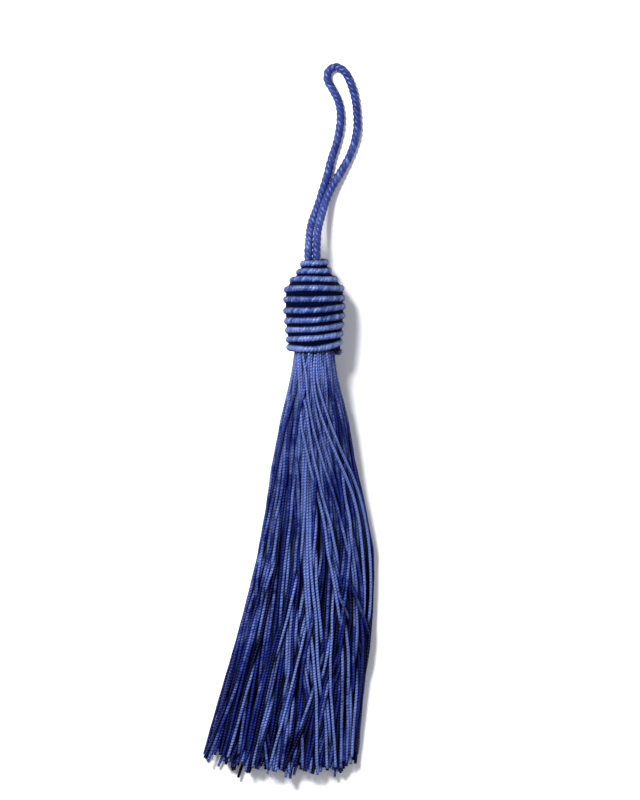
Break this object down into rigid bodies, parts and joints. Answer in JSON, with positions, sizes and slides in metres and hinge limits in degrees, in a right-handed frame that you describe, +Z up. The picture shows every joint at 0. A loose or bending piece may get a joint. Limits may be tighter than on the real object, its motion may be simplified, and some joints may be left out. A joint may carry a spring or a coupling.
{
  "type": "tassel",
  "caption": "Yarn tassel with a cord-wound egg-shaped head, a full skirt of cut yarns and a hanging loop of twisted cord, lying on its side.",
  "frame": {"origin": "on the surface the tassel lies on, under the middle of the box round its head and skirt", "axes": "+Y along the tassel from the cut end of the skirt towards the hanging loop, +Z up from the surface it lies on, +X to the right seen from above"},
  "size_m": [0.0446, 0.1929, 0.0167],
  "materials": {
    "mould_thread": "matt dark navy thread laid over the mould",
    "winding_cord": "twisted rayon cord, royal blue with a satin sheen",
    "skirt_yarn": "fine twisted rayon yarn, deep royal blue with a satin sheen",
    "loop_cord": "three-ply twisted rayon cord, royal blue, satin"
  },
  "bodies": {
    "root": {"head_form": "mould_thread", "head_winding": "winding_cord", "skirt": "skirt_yarn", "loop_cord": "loop_cord"}
  },
  "joints": []
}
